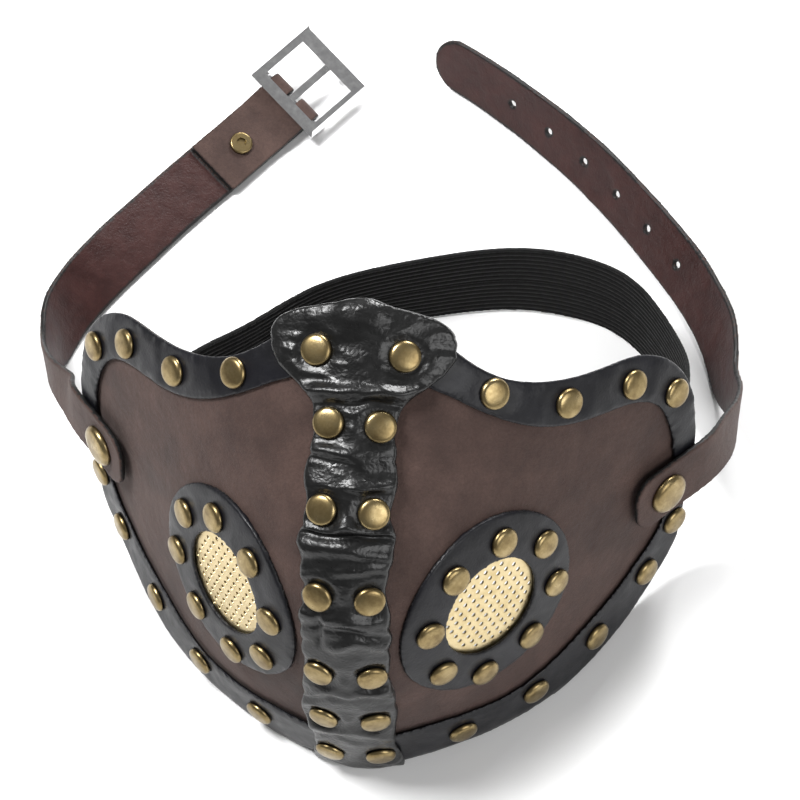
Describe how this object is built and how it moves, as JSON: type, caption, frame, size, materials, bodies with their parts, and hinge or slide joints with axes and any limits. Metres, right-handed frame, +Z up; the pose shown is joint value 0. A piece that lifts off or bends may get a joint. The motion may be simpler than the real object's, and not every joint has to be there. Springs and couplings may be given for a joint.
{
  "type": "plague doctor mask",
  "caption": "Half-face masquerade mask of riveted faux leather with round perforated vents, a folded centre strip, a buckling neck strap and an elastic head band.",
  "frame": {"origin": "middle of the chin rim, on the table that the mask stands on", "axes": "+Z up off the table; the nose points to -Y and the straps trail to +Y; +X is to the right of someone facing the outside of the mask from the front"},
  "size_m": [0.2015, 0.2375, 0.1234],
  "materials": {
    "suede": "brown suede-look faux leather",
    "strap_leather": "brown suede-look outside, smooth oxblood inside, black painted edges",
    "trim_leather": "smooth black faux leather, satin",
    "strip_leather": "wrinkled black faux leather, glossy",
    "antique_brass": "antique brass plate, polished domes",
    "mesh_brass": "pale brass sheet, perforated",
    "buckle_chrome": "polished nickel or chrome plate",
    "elastic": "black elastic webbing, ribbed lengthwise"
  },
  "bodies": {
    "mask": {"bottom_trim_left": "trim_leather", "bottom_trim_right": "trim_leather", "bottom_trim_rivet_backs_left": "antique_brass", "bottom_trim_rivet_backs_right": "antique_brass", "bottom_trim_rivet_caps_left": "antique_brass", "bottom_trim_rivet_caps_right": "antique_brass", "centre_strip": "strip_leather", "elastic_band": "elastic", "panel_left": "suede", "panel_right": "suede", "strap_rivet_back_left": "antique_brass", "strap_rivet_back_right": "antique_brass", "strap_rivet_cap_left": "antique_brass", "strap_rivet_cap_right": "antique_brass", "strip_rivet_backs": "antique_brass", "strip_rivet_caps": "antique_brass", "top_trim_left": "trim_leather", "top_trim_right": "trim_leather", "top_trim_rivet_backs_left": "antique_brass", "top_trim_rivet_backs_right": "antique_brass", "top_trim_rivet_caps_left": "antique_brass", "top_trim_rivet_caps_right": "antique_brass", "vent_mesh_left": "mesh_brass", "vent_mesh_right": "mesh_brass", "vent_ring_left": "trim_leather", "vent_ring_right": "trim_leather", "vent_rivet_backs_left": "antique_brass", "vent_rivet_backs_right": "antique_brass", "vent_rivet_caps_left": "antique_brass", "vent_rivet_caps_right": "antique_brass"},
    "buckle_strap": {"buckle_strap": "strap_leather", "tab_rivet_cap": "antique_brass", "tab_rivet_back": "antique_brass"},
    "buckle_frame": {"buckle_frame": "buckle_chrome"},
    "buckle_prong": {"buckle_prong": "buckle_chrome"},
    "tip_strap": {"tip_strap": "strap_leather"}
  },
  "joints": [
    {"name": "tip_strap_swivel", "type": "hinge", "parent": "mask", "child": "tip_strap", "pos_m": [0.0733, 0.06814, 0.04354], "axis": [0.7565, -0.6276, 0.1841], "range_deg": [0, 18]},
    {"name": "buckle_strap_swivel", "type": "hinge", "parent": "mask", "child": "buckle_strap", "pos_m": [-0.0733, 0.06814, 0.04354], "axis": [0.7565, 0.6276, -0.1841], "range_deg": [0, 18]},
    {"name": "buckle_frame_hinge", "type": "hinge", "parent": "buckle_strap", "child": "buckle_frame", "pos_m": [-0.04754, 0.21088, 0.0061], "axis": [-0.749, 0.557, 0.3588], "range_deg": [0, 70]},
    {"name": "buckle_prong_hinge", "type": "hinge", "parent": "buckle_frame", "child": "buckle_prong", "pos_m": [-0.04754, 0.21088, 0.0061], "axis": [-0.749, 0.557, 0.3588], "range_deg": [0, 90]}
  ]
}
